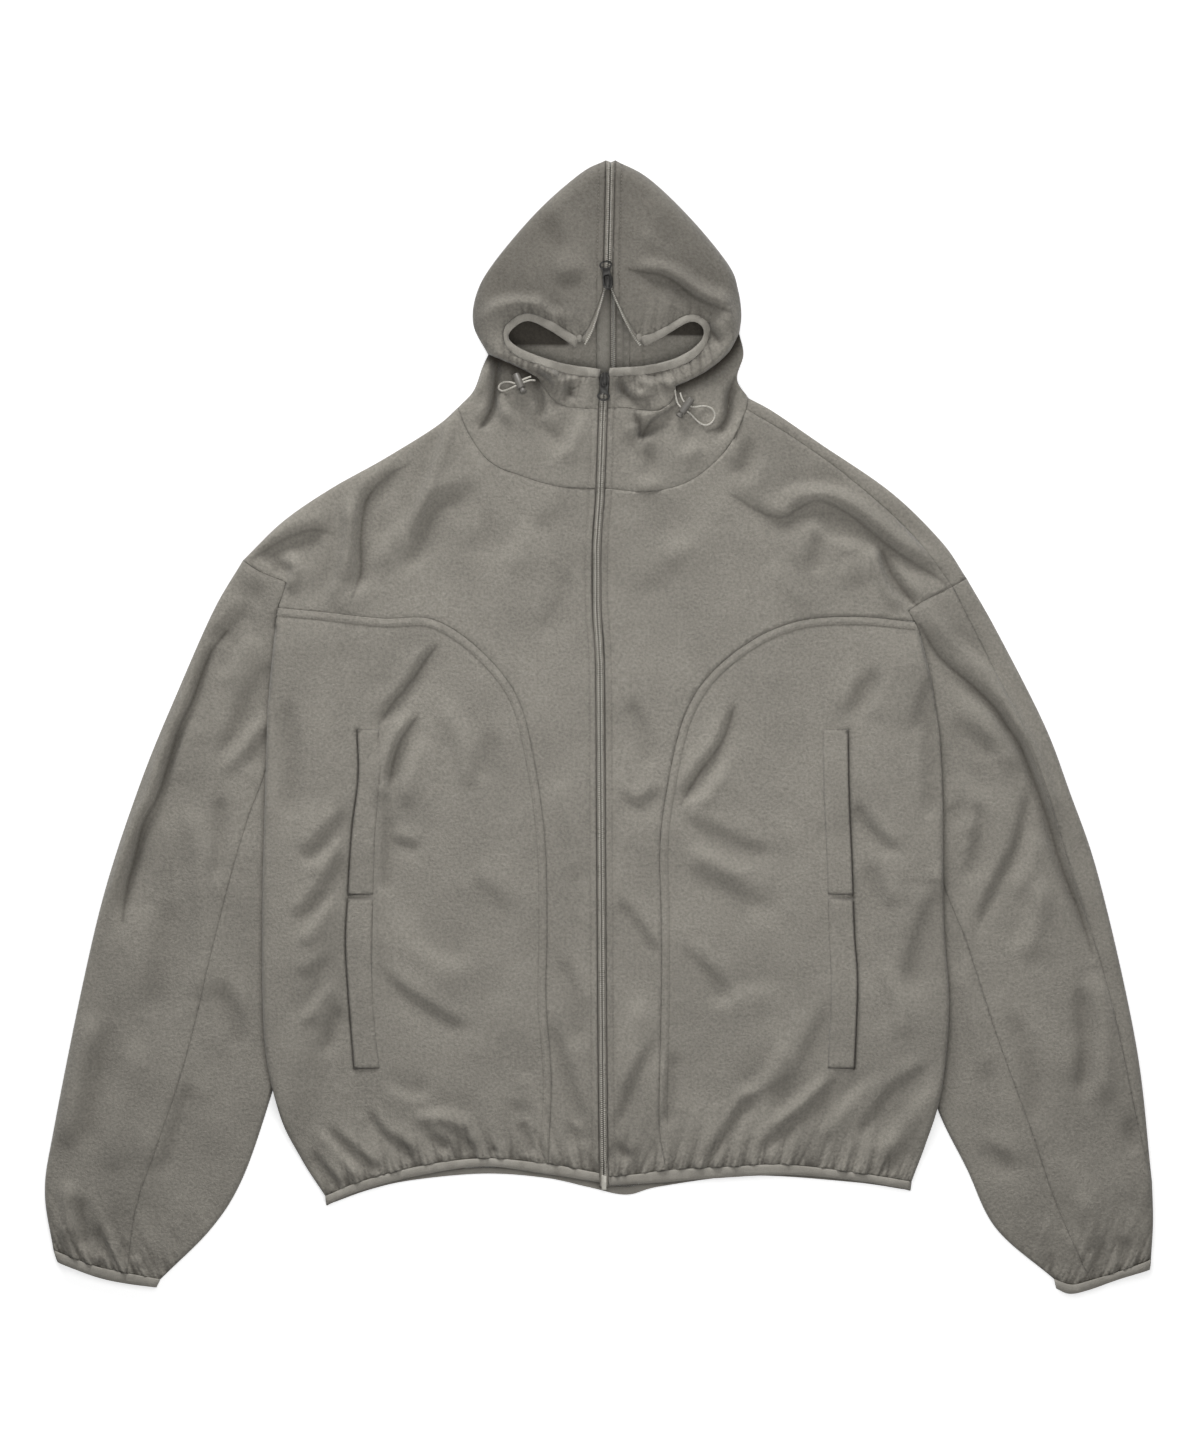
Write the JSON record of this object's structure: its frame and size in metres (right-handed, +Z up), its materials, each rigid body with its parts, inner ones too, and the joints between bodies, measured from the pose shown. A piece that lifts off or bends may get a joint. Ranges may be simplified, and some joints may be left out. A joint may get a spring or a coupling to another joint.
{
  "type": "zip-up hoodie",
  "caption": "Fleece hoodie laid flat on its back, front zip closed, hood up and closed over the face by its own short zip, cord locks at the neck.",
  "frame": {"origin": "centre of the bounding box on the table the hoodie lies on", "axes": "+X to the viewer's right across the front, +Y from the hem to the hood, +Z up out of the front"},
  "size_m": [1.052, 1.075, 0.0361],
  "materials": {
    "fleece": "napped microfleece, warm taupe grey, matte",
    "fleece_inside": "the fleece's smoother inner side, matte",
    "binding": "folded elastic binding, fine rib, low sheen",
    "zip_tape": "woven zip tape, matte",
    "zip_coil": "nylon coil, satin",
    "gunmetal": "gunmetal plating, satin",
    "lock_plastic": "moulded plastic in the fleece's colour, matte",
    "cord": "braided elastic cord, pale grey"
  },
  "bodies": {
    "garment": {"back": "fleece", "back_shoulder_right": "fleece", "collar_left": "fleece", "collar_right": "fleece", "cord_left": "cord", "cord_right": "cord", "cuff_top_left": "binding", "cuff_top_right": "binding", "cuff_under_left": "binding", "cuff_under_right": "binding", "face_binding_left": "binding", "face_binding_right": "binding", "front_centre_left": "fleece", "front_centre_right": "fleece", "front_side_left": "fleece", "front_side_right": "fleece", "hem_back": "binding", "hem_front_left": "binding", "hem_front_right": "binding", "hood_back_left": "fleece_inside", "hood_back_right": "fleece_inside", "hood_left": "fleece", "hood_right": "fleece", "inside_chain": "zip_coil", "inside_tape_left": "zip_tape", "inside_tape_right": "zip_tape", "lock_barrel_left": "lock_plastic", "lock_barrel_right": "lock_plastic", "pocket_welt_lower_left": "fleece", "pocket_welt_lower_right": "fleece", "pocket_welt_upper_left": "fleece", "pocket_welt_upper_right": "fleece", "sleeve_back_right": "fleece", "sleeve_inner_left": "fleece", "sleeve_inner_right": "fleece", "sleeve_outer_left": "fleece", "sleeve_outer_right": "fleece", "sleeve_under_left": "fleece", "sleeve_under_right": "fleece", "slider_front": "gunmetal", "slider_hood": "gunmetal", "zip_box": "zip_coil", "zip_chain_front": "zip_coil", "zip_chain_hood": "zip_coil", "zip_tape_front_left": "zip_tape", "zip_tape_front_right": "zip_tape", "zip_tape_hood_left": "zip_tape", "zip_tape_hood_right": "zip_tape"},
    "front_pull": {"pull_front": "gunmetal"},
    "hood_pull": {"pull_hood": "gunmetal"},
    "left_button": {"lock_button_left": "lock_plastic"},
    "right_button": {"lock_button_right": "lock_plastic"}
  },
  "joints": [
    {"name": "front_pull_swing", "type": "hinge", "parent": "garment", "child": "front_pull", "pos_m": [0.00475, 0.3316, 0.0192], "axis": [-0.9976, 0.0698, 0], "range_deg": [0, 150]},
    {"name": "hood_pull_swing", "type": "hinge", "parent": "garment", "child": "hood_pull", "pos_m": [0.0075, 0.4154, 0.03418], "axis": [0.9945, 0.1045, 0], "range_deg": [0, 150]},
    {"name": "left_lock_press", "type": "slide", "parent": "garment", "child": "left_button", "axis": [-0.3591, 0.8066, -0.4695], "range_m": [0, 0.002], "stiffness_N_per_m": 400, "springref_m": -0.002},
    {"name": "right_lock_press", "type": "slide", "parent": "garment", "child": "right_button", "axis": [0.5707, 0.8212, 0], "range_m": [0, 0.002], "stiffness_N_per_m": 400, "springref_m": -0.002}
  ]
}
